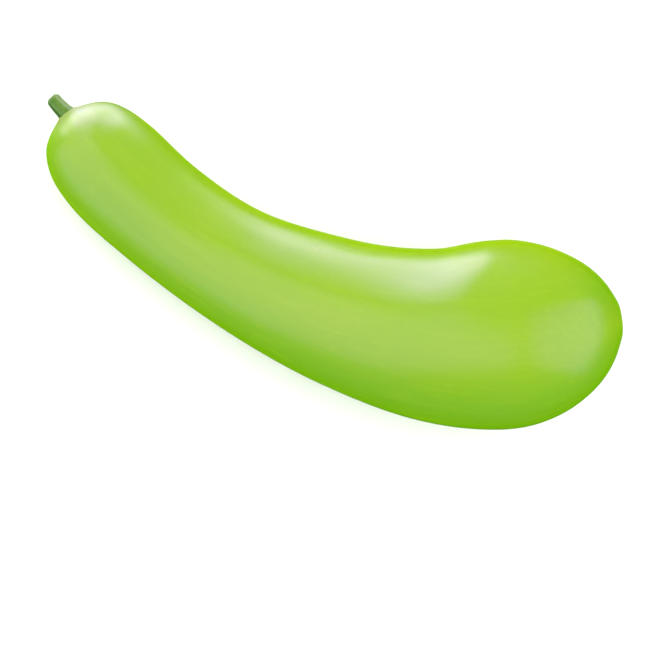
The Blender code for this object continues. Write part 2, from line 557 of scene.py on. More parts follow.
@dataclass(frozen=True)
class RindFinish:
    """Smooth waxy skin, lime green, paler by the stem, corky at the flower's scar, with painted
    shade in two places.

    Attributes:
        lime: The skin's main colour.
        leaf: Its greener colour, also laid on the outer side of the bend as painted shade.
        deep: Its deeper lime, laid as painted shade under the highlight on the hollow side by the
            stem.
        fleck: Its pale streaks and flecks.
        halo: The pale skin round the stem.
        scar: The cork of the blossom scar.
        scar_rim: The skin round that scar.
        patch_grain: Grain of the greener patches.
        patches: How strongly they show.
        regions: Painted shade on the bend's outer side, the neck, painted shade by the stem, and
            the blossom end.
        streak_grain: Grain of the lengthwise streaks.
        streaks: How strongly they show.
        fleck_grain: Grain of the flecks.
        flecks: How they fade from their middles.
        fleck_spread_grain: Grain of where flecks are thick or thin.
        fleck_spread: How strongly they show by that.
        round_stem: How the pale skin fades from the stem.
        scar_skirt: How the skin round the scar fades in.
        scar_cork: How the cork fades in.
        crumb_grain: Grain of the cork.
        crumbs: How strongly its crumbs show.
        ripple_grain: Grain of the lengthwise ripples.
        ripples: Their relief.
        pore_grain: Grain of the pores.
        pores: Their relief.
        gloss_grain: Grain of the gloss.
        roughness: How rough it is by that grain.
        scar_dulling: How much rougher it is on the scar.
        stem_dulling: How much rougher it is by the stem.
        bending: How strongly the wax bends light.
        sheen: Tint of the gloss.
        shine: Strength of the gloss from square on, 0, to edge on, 1. It fades there, so that
            light from behind does not burn out the far edge.
        held_across: How much later it fades on the hollow side.
        held_along: Where along the fruit that holds.
    """

    lime: Colour = (0.215, 0.372, 0.003)
    leaf: Colour = (0.115, 0.325, 0.001)
    deep: Colour = (0.170, 0.290, 0.004)
    fleck: Colour = (0.290, 0.440, 0.014)
    halo: Colour = (0.240, 0.315, 0.080)
    scar: Colour = (0.210, 0.165, 0.045)
    scar_rim: Colour = (0.180, 0.330, 0.020)
    patch_grain: Grain = Grain(30.0, 0.5, detail=1.0)
    patches: Fade = Fade(0.30, 0.75, 0.0, 0.18)
    regions: tuple[Region, ...] = (
        # Painted shade: greener and darker on the outer side of the bend, away from the main
        # lights.
        Region(leaf, Fade(0.03, 0.20, 0.62, 1.0), across=Fade(0.07, 1.09, 0.0, 0.95)),
        Region(leaf, Fade(0.015, 0.050), ends=Fade(0.070, 0.110, 0.14, 0.0)),
        # Painted shade: a deeper lime that dims the highlight on the hollow side by the stem.
        Region(deep, Fade(0.003, 0.015, 1.0, 0.0), across=Fade(0.10, -0.50, 0.0, 0.75)),
        Region(leaf, Fade(0.300, 0.331), across=Fade(-0.9, 0.3, 0.65, 0.25)),
    )
    streak_grain: Grain = Grain(330.0, 0.05, detail=2.0)
    streaks: Fade = Fade(0.45, 0.80, 0.0, 0.16)
    fleck_grain: Grain = Grain(300.0, 0.65)
    flecks: Fade = Fade(0.34, 0.10)
    fleck_spread_grain: Grain = Grain(45.0, detail=2.0)
    fleck_spread: Fade = Fade(0.40, 0.65, 0.03, 0.17)
    round_stem: Fade = Fade(0.0008, 0.0075, 0.9, 0.0)
    scar_skirt: Fade = Fade(0.05, 0.45, 0.0, 0.7)
    scar_cork: Fade = Fade(0.45, 0.75)
    crumb_grain: Grain = Grain(2600.0, detail=4.0)
    crumbs: Fade = Fade(0.3, 0.6, 0.6, 1.0)
    ripple_grain: Grain = Grain(220.0, 0.2)
    ripples: Relief = Relief(0.0003, 0.10)
    pore_grain: Grain = Grain(1500.0, rough=0.6)
    pores: Relief = Relief(0.00012, 0.10)
    gloss_grain: Grain = Grain(50.0, detail=1.0)
    roughness: Fade = Fade(0.2, 0.8, 0.275, 0.325)
    scar_dulling: Fade = Fade(0.1, 0.7, 0.0, 0.5)
    stem_dulling: Fade = Fade(0.0, 0.014, 0.12, 0.0)
    bending: float = 1.5
    sheen: Colour = (0.44, 0.14, 0.70)
    shine: Fade = Fade(0.34, 0.74, 0.5, 0.01)
    held_across: Fade = Fade(-0.20, -0.60, 0.0, 0.30)
    held_along: Fade = Fade(0.018, 0.040, 1.0, 0.0)

    def make(self) -> bpy.types.Material:
        """Build the rind's material from what its mesh carries.

        Returns:
            The material.
        """
        mix = GrownRecipe("gourd_rind")
        outer, scar = mix.carried(Carried.OUTER), mix.carried(Carried.SCAR)
        colour = self.marked(mix, self.ground(mix, outer))
        mix.set(
            Base_Color=self.ended(mix, colour, scar),
            Roughness=self.dulled(mix, scar),
            Normal=self.raised(mix),
            IOR=self.bending,
            Specular_IOR_Level=self.glossed(mix, outer),
            Specular_Tint=(*self.sheen, 1.0),
        )
        return mix.material

    def ground(self, mix: GrownRecipe, outer: Socket) -> Socket:
        """Colour the skin broadly: its patches, then each region, two of them painted shade.

        Args:
            mix: The rind's material.
            outer: How far each place is to the outer side of the bend.

        Returns:
            The colour.
        """
        patches = mix.clouds(mix.grown, self.patch_grain)
        colour = mix.layer(mix.fade(patches, self.patches), self.lime, self.leaf)
        for region in self.regions:
            if region.across is None:
                limit = mix.fade(mix.along, region.ends)
            else:
                limit = mix.fade(outer, region.across)
            amount = mix.overlap(mix.fade(mix.along, region.along), limit)
            colour = mix.layer(amount, colour, region.colour)
        return colour

    def marked(self, mix: GrownRecipe, colour: Socket) -> Socket:
        """Lay pale streaks and scattered flecks over the skin.

        Args:
            mix: The rind's material.
            colour: The colour under them.

        Returns:
            The colour.
        """
        streaks = mix.clouds(mix.grown, self.streak_grain)
        colour = mix.layer(mix.fade(streaks, self.streaks), colour, self.fleck)
        flecks = mix.cells(mix.grown, self.fleck_grain)
        spread = mix.clouds(mix.grown, self.fleck_spread_grain)
        shown = mix.overlap(mix.fade(flecks, self.flecks), mix.fade(spread, self.fleck_spread))
        return mix.layer(shown, colour, self.fleck)

    def ended(self, mix: GrownRecipe, colour: Socket, scar: Socket) -> Socket:
        """Finish the two ends: pale skin round the stem, and the corky blossom scar.

        Args:
            mix: The rind's material.
            colour: The colour under them.
            scar: How much of each place is scar.

        Returns:
            The colour.
        """
        colour = mix.layer(mix.fade(mix.along, self.round_stem), colour, self.halo)
        colour = mix.layer(mix.fade(scar, self.scar_skirt), colour, self.scar_rim)
        crumbs = mix.clouds(mix.grown, self.crumb_grain)
        cork = mix.overlap(mix.fade(scar, self.scar_cork), mix.fade(crumbs, self.crumbs))
        return mix.layer(cork, colour, self.scar)

    def raised(self, mix: GrownRecipe) -> Socket:
        """Fine relief: pores on lengthwise ripples."""
        ripples = mix.relief(mix.clouds(mix.grown, self.ripple_grain), self.ripples)
        return mix.relief(mix.clouds(mix.grown, self.pore_grain), self.pores, ripples)

    def dulled(self, mix: GrownRecipe, scar: Socket) -> Socket:
        """Roughness of the gloss.

        Args:
            mix: The rind's material.
            scar: How much of each place is scar.

        Returns:
            The roughness.
        """
        rough = mix.fade(mix.clouds(mix.grown, self.gloss_grain), self.roughness)
        rough = mix.joined(rough, Joining.SUM, mix.fade(scar, self.scar_dulling))
        return mix.joined(rough, Joining.SUM, mix.fade(mix.along, self.stem_dulling))

    def glossed(self, mix: GrownRecipe, outer: Socket) -> Socket:
        """Strength of the gloss, by how slanted the skin is seen.

        Args:
            mix: The rind's material.
            outer: How far each place is to the outer side of the bend.

        Returns:
            The strength.
        """
        held = mix.overlap(mix.fade(outer, self.held_across), mix.fade(mix.along, self.held_along))
        slant = mix.node("ShaderNodeLayerWeight", Blend=0.5).outputs["Facing"]
        return mix.fade(mix.joined(slant, Joining.DIFFERENCE, held), self.shine)


@dataclass(frozen=True)
class StemFinish:
    """Fibrous green stem with painted shade on one side, painted highlights on the other, pale
    fibres and a dusty tip.

    The fades named for a side or an edge go by metres across the stem, toward the side with the
    painted shade.

    Attributes:
        flesh: The stem's main colour.
        olive: Its yellower, slightly lighter colour away from the painted shade: partly its own
            hue, partly painted light.
        ridge: Its pale fibres, and the painted highlights on its ridge crests and along one edge.
        dark: Its dark patches, and the painted shade on one side.
        dust: Its dusty tip.
        fibre_grain: Grain of the fibres.
        patch_grain: Grain of the patches.
        olive_side: How that partly painted, lighter colour fades in.
        dark_patches: How strongly the dark patches show.
        pale_fibres: How strongly the pale fibres show.
        crests: How the painted highlights on the ridges fade in toward their crests.
        crest_highlight_side: How strongly those painted highlights show across the stem.
        painted_highlight_edge: How the painted highlight along the edge away from the painted shade
            fades in.
        painted_shade_edge: How the painted shade on one side fades in.
        tip: How the dust fades in, by metres along the stem.
        relief: Relief of the fibres.
        roughness: How rough the patches are.
        shine: Strength of the gloss.
    """

    flesh: Colour = (0.078, 0.170, 0.026)
    olive: Colour = (0.090, 0.195, 0.014)
    ridge: Colour = (0.185, 0.260, 0.115)
    dark: Colour = (0.030, 0.100, 0.006)
    dust: Colour = (0.200, 0.250, 0.130)
    fibre_grain: Grain = Grain(2600.0, 0.10)
    patch_grain: Grain = Grain(420.0)
    olive_side: Fade = Fade(0.0010, -0.0015, 0.0, 0.9)
    dark_patches: Fade = Fade(0.40, 0.70, 0.0, 0.35)
    pale_fibres: Fade = Fade(0.45, 0.75, 0.0, 0.35)
    crests: Fade = Fade(0.60, 1.0)
    crest_highlight_side: Fade = Fade(0.0015, -0.0020, 0.15, 0.9)
    painted_highlight_edge: Fade = Fade(-0.0022, -0.0036, 0.0, 0.7)
    painted_shade_edge: Fade = Fade(0.0024, 0.0035, 0.0, 0.95)
    tip: Fade = Fade(0.0088, 0.0108, 0.0, 0.6)
    relief: Relief = Relief(0.0003, 0.5)
    roughness: Fade = Fade(0.3, 0.7, 0.62, 0.8)
    shine: float = 0.06

    def make(self) -> bpy.types.Material:
        """Build the stem's material from its length, its ridges and its two sides, one with painted
        shade, one with painted highlights.

        Returns:
            The material.
        """
        mix = GrownRecipe("gourd_stem")
        fibres = mix.clouds(mix.grown, self.fibre_grain)
        patches = mix.clouds(mix.grown, self.patch_grain)
        # Painted highlights on the ridge crests, strongest away from the painted shade.
        crests = mix.overlap(
            mix.fade(mix.carried(Carried.RIDGE), self.crests),
            mix.fade(mix.aside, self.crest_highlight_side),
        )
        # Yellower and slightly lighter away from the painted shade: partly the stem's own hue,
        # partly painted light.
        colour = mix.layer(mix.fade(mix.aside, self.olive_side), self.flesh, self.olive)
        for amount, over in (
            (mix.fade(patches, self.dark_patches), self.dark),
            (mix.fade(fibres, self.pale_fibres), self.ridge),
            (crests, self.ridge),
            # Painted highlight along the edge away from the painted shade.
            (mix.fade(mix.aside, self.painted_highlight_edge), self.ridge),
            # Painted shade on one side of the stem.
            (mix.fade(mix.aside, self.painted_shade_edge), self.dark),
            (mix.fade(mix.along, self.tip), self.dust),
        ):
            colour = mix.layer(amount, colour, over)
        mix.set(
            Base_Color=colour,
            Roughness=mix.fade(patches, self.roughness),
            Specular_IOR_Level=self.shine,
            Normal=mix.relief(fibres, self.relief),
        )
        return mix.material


@dataclass(frozen=True)
class CutFinish:
    """The stem's cut end: a dried green rim, a ring of strands and pale pith.

    Attributes:
        pith: The pale middle.
        strand: The strands, and grains in the pith.
        rim: The dried green rim.
        grain: Grain of the pith.
        grains: How strongly it shows.
        strands: How the strands fade in.
        rim_fade: How the rim fades in, by share of the radius.
        relief: Relief of the grain.
        roughness: How rough the cut is.
    """

    pith: Colour = (0.330, 0.360, 0.150)
    strand: Colour = (0.190, 0.185, 0.065)
    rim: Colour = (0.150, 0.230, 0.060)
    grain: Grain = Grain(3200.0, detail=4.0, rough=0.6)
    grains: Fade = Fade(0.3, 0.7, 0.0, 0.35)
    strands: Fade = Fade(0.2, 0.8, 0.0, 0.8)
    rim_fade: Fade = Fade(0.80, 0.95)
    relief: Relief = Relief(0.0002, 0.6)
    roughness: float = 0.85

    def make(self) -> bpy.types.Material:
        """Build the cut's material from the mesh's strands and its distance from the middle.

        Returns:
            The material.
        """
        mix = GrownRecipe("gourd_stem_cut")
        grain = mix.clouds(mix.grown, self.grain)
        strands = mix.fade(mix.carried(Carried.STRANDS), self.strands)
        rim = mix.fade(mix.carried(Carried.OUTWARD), self.rim_fade)
        colour = mix.layer(mix.fade(grain, self.grains), self.pith, self.strand)
        colour = mix.layer(strands, colour, self.strand)
        mix.set(
            Base_Color=mix.layer(rim, colour, self.rim),
            Roughness=self.roughness,
            Normal=mix.relief(grain, self.relief),
        )
        return mix.material


@dataclass(frozen=True)
class FloorFinish:
    """Matte white paper with the faintest tooth.

    Attributes:
        paper: Its colour.
        grain: Grain of its tooth.
        relief: Relief of its tooth.
        roughness: How rough it is.
        shine: Strength of its gloss.
    """

    paper: Colour = (0.93, 0.93, 0.93)
    grain: Grain = Grain(900.0, detail=2.0)
    relief: Relief = Relief(0.0001, 0.05)
    roughness: float = 0.9
    shine: float = 0.1

    def make(self) -> bpy.types.Material:
        """Build the floor's material.

        Returns:
            The material.
        """
        mix = Recipe("studio_paper")
        place = mix.node("ShaderNodeTexCoord").outputs["Object"]
        mix.set(
            Base_Color=(*self.paper, 1.0),
            Roughness=self.roughness,
            Specular_IOR_Level=self.shine,
            Normal=mix.relief(mix.clouds(place, self.grain), self.relief),
        )
        return mix.material


def closed_skin(name: str, rows: Array, start: Array, end: Array | None = None) -> bpy.types.Object:
    """Make a smooth mesh from rings of points, closed at the start and, if asked, at the end.

    Args:
        name: The piece's name.
        rows: Rings of points, shape (rings, around, 3), turning left about the way they run.
        start: The point that closes the first ring.
        end: The point that closes the last ring, or None to leave it open.

    Returns:
        The object, linked to the scene. Its points are start, the rings in order, then end.
    """
    rings, around, _ = rows.shape
    points = [start[None, :], rows.reshape(-1, 3)] + ([] if end is None else [end[None, :]])
    points = np.vstack(points)
    here = 1 + np.arange(rings)[:, None] * around + np.arange(around)[None, :]
    beside = np.roll(here, -1, axis=1)
    walls = np.stack([here[:-1], beside[:-1], beside[1:], here[1:]], axis=-1).reshape(-1, 4)
    faces = [(0, int(b), int(a)) for a, b in zip(here[0], beside[0])]
    faces += [tuple(int(k) for k in wall) for wall in walls]
    if end is not None:
        last = len(points) - 1
        faces += [(last, int(a), int(b)) for a, b in zip(here[-1], beside[-1])]
    mesh = bpy.data.meshes.new(name)
    mesh.from_pydata(points.tolist(), [], faces)
    mesh.shade_smooth()
    mesh.update()
    made = bpy.data.objects.new(name, mesh)
    bpy.context.scene.collection.objects.link(made)
    return made


def carry(piece: bpy.types.Object, what: Carried, values: Array) -> None:
    """Store numbers or places on a piece's points, for its material to read.

    Args:
        piece: The piece.
        what: What the values are.
        values: One number or one place for each point.
    """
    place = values.ndim == 2
    kind = "FLOAT_VECTOR" if place else "FLOAT"
    layer = piece.data.attributes.new(what.value, kind, "POINT")
    layer.data.foreach_set("vector" if place else "value", values.astype(np.float32).ravel())


@dataclass(frozen=True)
class Dent:
    """A shallow dent in the skin.

    Attributes:
        depth: Metres, negative for a swelling.
        along: Its middle's distance from the stem end.
        side: Degrees round from the hollow side of the bend.
        reach: How far it fades out, along the fruit and round it.
    """

    depth: float
    along: float
    side: float
    reach: tuple[float, float]

    def lowers(self, radius: Array, along: Array, turn: Array) -> Array:
        """Work out the dent.

        Args:
            radius: Radius of the even fruit.
            along: Distance from the stem end.
            turn: Angle from the hollow side of the bend.

        Returns:
            How much lower the skin is at each place.
        """
        away = np.remainder(turn - math.radians(self.side) + np.pi, 2.0 * np.pi) - np.pi
        fade = ((along - self.along) / self.reach[0]) ** 2 + (radius * away / self.reach[1]) ** 2
        return self.depth * np.exp(-fade)


@dataclass(frozen=True)
class Pinch:
    """The waist on the hollow side of the bend, between the belly and the bulb.

    Attributes:
        along: Its middle's distance from the stem end.
        depth: How deep it is.
        to_neck: How far it fades out toward the neck.
        to_bulb: How far it fades out toward the bulb.
        sharpness: How quickly it fades out round the fruit.
    """

    along: float = 0.228
    depth: float = 0.0046
    to_neck: float = 0.038
    to_bulb: float = 0.0215
    sharpness: float = 3.0

    def lowers(self, along: Array, turn: Array) -> Array:
        """Work out the waist.

        Args:
            along: Distance from the stem end.
            turn: Angle from the hollow side of the bend.

        Returns:
            How much lower the skin is at each place.
        """
        reach = np.where(along < self.along, self.to_neck, self.to_bulb)
        inner_side = ((1.0 + np.cos(turn)) / 2.0) ** self.sharpness
        return self.depth * np.exp(-(((along - self.along) / reach) ** 2)) * inner_side


@dataclass(frozen=True)
class Folds:
    """Low folds that run out from the stem and fade along the neck.

    Attributes:
        count: How many there are round the fruit.
        height: Their height where they are highest.
        peak: Where that is, from the stem end.
        fading: How quickly they fade from there.
        phase: Radians that they are turned by.
    """

    count: int
    height: float
    peak: float
    fading: int = 1
    phase: float = 0.0

    def raises(self, along: Array, turn: Array) -> Array:
        """How much higher the skin is at each place."""
        near_stem = (along / self.peak) * np.exp(1.0 - along / self.peak)
        return self.height * near_stem**self.fading * np.cos(self.count * turn + self.phase)


@dataclass(frozen=True)
class Swell:
    """A gentle unevenness that winds along the fruit.

    Attributes:
        height: How high it is.
        length: From one crest to the next along the fruit.
        lobes: Crests round the fruit, negative where they wind the other way.
    """

    height: float
    length: float
    lobes: int

    def raises(self, along: Array, turn: Array) -> Array:
        """How much higher the skin is at each place."""
        return self.height * np.sin(2.0 * np.pi * along / self.length + self.lobes * turn)


@dataclass(frozen=True)
class Veins:
    """Faint veins along the whole fruit, in sets that are lower the finer they are.

    Attributes:
        counts: Veins of each set round the fruit, the coarsest first.
        height: Height of the coarsest.
        winding: Shortest and longest stretch in which a set winds on by one vein.
        seed: Seed of the draws.
    """

    counts: tuple[int, ...] = (7, 11, 13, 17, 23, 29)
    height: float = 0.000025
    winding: tuple[float, float] = (0.12, 0.40)
    seed: int = 11

    def raises(self, along: Array, turn: Array) -> Array:
        """Work out the veins.

        Args:
            along: Distance from the stem end.
            turn: Angle from the hollow side of the bend.

        Returns:
            How much higher the skin is at each place.
        """
        draw = np.random.default_rng(self.seed)
        height = np.zeros_like(turn)
        for count in self.counts:
            phase, length = draw.uniform(0.0, 2.0 * np.pi), draw.uniform(*self.winding)
            wave = np.sin(count * turn + phase + 2.0 * np.pi * along / length)
            height = height + self.height * math.sqrt(self.counts[0] / count) * wave
        return height


@dataclass(frozen=True)
class Collar:
    """The low ring of skin round the stem's foot.

    Attributes:
        radius: Of the ring.
        height: How far it stands out toward the stem.
        width: How far it fades out to each side.
        ends: Distance from the stem end past which there is none.
    """

    radius: float = 0.0056
    height: float = 0.00022
    width: float = 0.0009
    ends: float = 0.01

    def stands_out(self, along: Array, radius: Array) -> Array:
        """How far each place is moved toward the stem."""
        ring = np.exp(-(((radius - self.radius) / self.width) ** 2))
        return self.height * ring * (along < self.ends)


@dataclass(frozen=True)
class BlossomScar:
    """The sunken scar that the flower left, with a raised rim and a nub in its middle.

    Attributes:
        starts: Distance from the stem end before which there is none.
        depth: How deep it is.
        radius: How far it fades out from the middle.
        rim_height: Height of its rim.
        rim_radius: Radius of its rim.
        rim_width: How far the rim fades out to each side.
        nub_height: Height of the nub.
        nub_radius: How far the nub fades out.
    """

    starts: float = 0.330
    depth: float = 0.0007
    radius: float = 0.0045
    rim_height: float = 0.00015
    rim_radius: float = 0.0036
    rim_width: float = 0.00135
    nub_height: float = 0.00045
    nub_radius: float = 0.0012

    def share(self, along: Array, radius: Array) -> Array:
        """How much of each place is scar: 1 in the middle of the blossom end, 0 away from it."""
        return np.where(along > self.starts, np.exp(-((radius / self.radius) ** 2)), 0.0)

    def stands_out(self, scar: Array, radius: Array) -> Array:
        """Work out the scar's shape.

        Args:
            scar: How much of each place is scar.
            radius: Distance from the middle of the blossom end.

        Returns:
            How far each place is moved out along the fruit.
        """
        rim = np.exp(-(((radius - self.rim_radius) / self.rim_width) ** 2)) * (scar > 0.0)
        nub = np.exp(-((radius / self.nub_radius) ** 2)) * (scar > 0.0)
        return -self.depth * scar + self.rim_height * rim + self.nub_height * nub


@dataclass
class Fruit:
    """The whole fruit: neck, belly, pinch and bulb, pressed flat where it lies.

    Attributes:
        girth: Its radius along it.
        middle: The line it bends along.
        settled: How it lies.
        finish: The rind.
        rows: Rings of points along it.
        around: Points in each ring.
        neck_radius: Radius from which the swells, pleats and veins have their full height.
        pinch: Its waist on the hollow side.
        dents: Three broad forms that its outline and main highlight show, then eight soft ones
            that shape the highlights.
        ribs: Its low ribs by the stem.
        pleats: The fine pleats round the stem.
        swells: Its gentle unevenness.
        veins: Its faint veins.
        collar: The ring of skin round the stem.
        scar: The blossom scar.
    """

    girth: Girth = field(default_factory=Girth)
    middle: MiddleLine = field(default_factory=MiddleLine)
    settled: Settled = field(default_factory=Settled)
    finish: RindFinish = field(default_factory=RindFinish)
    rows: int = 352
    around: int = 264
    neck_radius: float = 0.0303
    pinch: Pinch = field(default_factory=Pinch)
    dents: tuple[Dent, ...] = (
        Dent(0.0013, 0.019, 0.0, (0.017, 0.040)),
        Dent(-0.0010, 0.150, 71.0, (0.026, 0.032)),
        Dent(0.0014, 0.217, 55.0, (0.0246, 0.0125)),
        Dent(-0.0011, 0.0176, 46.5, (0.014, 0.011)),
        Dent(0.0011, 0.0359, 75.1, (0.0237, 0.011)),
        Dent(0.0011, 0.081, 55.8, (0.0477, 0.0162)),
        Dent(-0.0011, 0.1484, 89.7, (0.0454, 0.0236)),
        Dent(-0.0011, 0.243, 55.4, (0.0152, 0.0262)),
        Dent(-0.0011, 0.2627, 29.3, (0.0143, 0.0144)),
        Dent(0.0011, 0.2813, 50.8, (0.0185, 0.0211)),
        Dent(-0.0007, 0.1906, 84.5, (0.0498, 0.018)),
    )
    ribs: Folds = Folds(5, 0.0005, 0.011)
    pleats: Folds = Folds(15, 0.00010, 0.0065, fading=2, phase=0.7)
    swells: tuple[Swell, ...] = (Swell(0.0002, 0.115, 2), Swell(0.00012, 0.068, -3))
    veins: Veins = field(default_factory=Veins)
    collar: Collar = field(default_factory=Collar)
    scar: BlossomScar = field(default_factory=BlossomScar)

    def radius(self, radius: Array, along: Array, turn: Array) -> Array:
        """Radius of the uneven fruit.

        Args:
            radius: Radius of the even fruit.
            along: Distance from the stem end.
            turn: Angle from the hollow side of the bend.

        Returns:
            The grown radius at each place.
        """
        dents = sum(dent.lowers(radius, along, turn) for dent in self.dents)
        broad = -self.pinch.lowers(along, turn) - dents + self.ribs.raises(along, turn)
        fine = sum(swell.raises(along, turn) for swell in self.swells)
        fine = fine + self.pleats.raises(along, turn) + self.veins.raises(along, turn)
        return radius + broad + fine * np.minimum(1.0, radius / self.neck_radius)

    def straight(self) -> tuple[Array, Array]:
        """Shape the straight fruit.

        Returns:
            Its points as (along, toward the hollow side, up), shape (rows, around, 3), and
            the share of scar at each.
        """
        rows = self.girth.rows(self.rows)
        along, even = rows[:, :1], rows[:, 1:]
        turn = np.linspace(0.0, 2.0 * np.pi, self.around, endpoint=False)[None, :]
        along, even, turn = np.broadcast_arrays(along, even, turn)
        radius = self.radius(even, along, turn) * (even > 0.0)
        scar = self.scar.share(along, even)
        out = self.scar.stands_out(scar, even) - self.collar.stands_out(along, even)
        points = np.stack([along + out, radius * np.cos(turn), radius * np.sin(turn)], axis=-1)
        return points, scar

    def build(self) -> tuple[bpy.types.Object, Array]:
        """Make the fruit, settle it into its node's box and press its low spots flat.

        Returns:
            The piece, and the move that settled it.
        """
        straight, scar = self.straight()
        turned = self.middle.bend(straight) @ self.settled.turn().T
        move = self.settled.shift(turned.reshape(-1, 3), "fruit")
        placed = turned + move
        placed[..., 2] = np.maximum(placed[..., 2], 0.0)
        piece = closed_skin("gourd_fruit", placed[1:-1], placed[0, 0], placed[-1, 0])
        ordered = np.vstack([straight[0, :1], straight[1:-1].reshape(-1, 3), straight[-1, :1]])
        outer = -ordered[:, 1] / np.maximum(np.hypot(ordered[:, 1], ordered[:, 2]), 1e-6)
        carry(piece, Carried.GROWN, ordered)
        carry(piece, Carried.SCAR, np.concatenate([scar[0, :1], scar[1:-1].ravel(), scar[-1, :1]]))
        carry(piece, Carried.OUTER, outer)
        piece.data.materials.append(self.finish.make())
        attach(piece, "root")
        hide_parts("fruit")
        return piece, move


@dataclass
class Stem:
    """The short cut stem: five soft ridges, furrows and fibres.

    Attributes:
        settled: How the fruit lies, which carries the stem.
        finish: Its rind.
        length: From the fruit's skin to the cut.
        root: How far its foot reaches into the skin.
        foot_radius: Radius at the skin.
        tip_radius: Radius at the cut.
        flare: How much wider its very foot is.
        flare_length: How far up that fades out.
        bearing: Degrees that it points round from +X, in the plane of the bend.
        droop: Degrees that it points under that plane.
        bow: How far its middle bows aside.
        sides: Faces round it.
        flatness: How flat they are, from 0, round, to 1, flat.
        crest: Height of its ridges' crests.
        crest_sharpness: How narrow the crests are.
        groove: Depth of the furrows beside them.
        groove_at: Where those are, from 0 in the middle of a face to 1 on a crest.
        groove_width: How far they fade out, in the same measure.
        fibre: Height of the fibres.
        fibre_count: Fibres round it.
        fibre_wander: Radians of a fibre's own width that they wander by.
        fibre_wander_length: How quickly they wander along the stem.
        fine_fibre: Height of the finer fibres.
        fine_fibre_count: Finer fibres round it.
        fine_fibre_length: How quickly they wind along the stem.
        lip: How far its edge rounds in at the cut.
        lip_length: Over how long.
        stations: Rings of points along it.
        around: Points in each ring.
    """

    settled: Settled = field(default_factory=Settled)
    finish: StemFinish = field(default_factory=StemFinish)
    length: float = 0.0108
    root: float = 0.0022
    foot_radius: float = 0.0045
    tip_radius: float = 0.0039
    flare: float = 0.0005
    flare_length: float = 0.0010
    bearing: float = 153.4
    droop: float = 15.0
    bow: float = 0.0002
    sides: int = 5
    flatness: float = 0.62
    crest: float = 0.00016
    crest_sharpness: int = 6
    groove: float = 0.00010
    groove_at: float = 0.45
    groove_width: float = 0.16
    fibre: float = 0.00003
    fibre_count: int = 61
    fibre_wander: float = 3.0
    fibre_wander_length: float = 0.0021
    fine_fibre: float = 0.000021
    fine_fibre_count: int = 37
    fine_fibre_length: float = 0.0013
    lip: float = 0.00035
    lip_length: float = 0.0006
    stations: int = 64
    around: int = 240

    def axes(self) -> tuple[Array, Array, Array]:
        """Find which way the stem points.

        Returns:
            Directions in the fruit's own frame: out, to its side, and up from it.
        """
        bearing, droop = math.radians(self.bearing), math.radians(self.droop)
        level = math.cos(droop)
        out = np.array([math.cos(bearing) * level, math.sin(bearing) * level, -math.sin(droop)])
        aside = np.array([-math.sin(bearing), math.cos(bearing), 0.0])
        return out, aside, np.cross(out, aside)

    def turns(self) -> Array:
        """Angles of the points in a ring, from the upper face, as one row."""
        return np.linspace(0.0, -2.0 * np.pi, self.around, endpoint=False)[None, :]

    def section(self, turn: Array) -> Array:
        """Outline of the stem, five-sided with soft corners.

        Args:
            turn: Angle from the upper face.

        Returns:
            The radius at each angle, 1 at a corner.
        """
        side = 2.0 * np.pi / self.sides
        from_face = (turn + side / 2.0) % side - side / 2.0
        flat = math.cos(side / 2.0) / np.cos(from_face)
        return self.flatness * flat + 1.0 - self.flatness

    def ridge(self, turn: Array) -> Array:
        """1 on the crest of a ridge, 0 in the middle of a face."""
        return (1.0 - np.cos(self.sides * turn)) / 2.0

    def fibres(self, turn: Array, along: Array) -> Array:
        """Work out the fibres.

        Args:
            turn: Angle from the upper face.
            along: Distance from the fruit's skin.

        Returns:
            How high they stand at each place.
        """
        wander = self.fibre_wander * np.sin(along / self.fibre_wander_length)
        winding = along / self.fine_fibre_length
        coarse = self.fibre * np.sin(self.fibre_count * turn + wander)
        return coarse + self.fine_fibre * np.sin(self.fine_fibre_count * turn + winding)

    def reach(self, turn: Array, along: Array) -> Array:
        """Radius of the stem.

        Args:
            turn: Angle from the upper face.
            along: Distance from the skin.

        Returns:
            The radius at each place.
        """
        share = np.clip(along / self.length, 0.0, 1.0)
        taper = self.foot_radius + (self.tip_radius - self.foot_radius) * share
        flare = self.flare * np.exp(-np.maximum(along, 0.0) / self.flare_length)
        ridge = self.ridge(turn)
        crest = self.crest * ridge**self.crest_sharpness
        groove = -self.groove * np.exp(-(((ridge - self.groove_at) / self.groove_width) ** 2))
        by_cut = np.maximum(0.0, (along - self.length + self.lip_length) / self.lip_length)
        surface = crest + groove + self.fibres(turn, along) - self.lip * by_cut**3
        return (taper + flare) * self.section(turn) + surface

    def place(self, along: Array, reach: Array, turn: Array, move: Array) -> Array:
        """Place points of the stem on the settled fruit.

        Args:
            along: Distance from the skin.
            reach: Distance from the stem's middle.
            turn: Angle from the upper face.
            move: The move that settled the fruit.

        Returns:
            The points, in the model's frame.
        """
        out, aside, up = self.axes()
        share = np.clip(along / self.length, 0.0, 1.0)
        across = self.bow * np.sin(np.pi * share) + reach * np.sin(turn)
        own = (
            along[..., None] * out
            + across[..., None] * aside
            + (reach * np.cos(turn))[..., None] * up
        )
        return own @ self.settled.turn().T + move

    def middle(self, along: float, move: Array) -> Array:
        """The point in the stem's middle at a distance from the skin."""
        return self.place(np.array([along]), np.zeros(1), np.zeros(1), move)[0]

    def grown(self, start: float, along: Array, reach: Array, turn: Array) -> Array:
        """Places before the stem was bowed, for a middle point and then the rings' points."""
        rings = np.stack([along, reach * np.sin(turn), reach * np.cos(turn)], axis=-1)
        return np.vstack([[[start, 0.0, 0.0]], rings.reshape(-1, 3)])

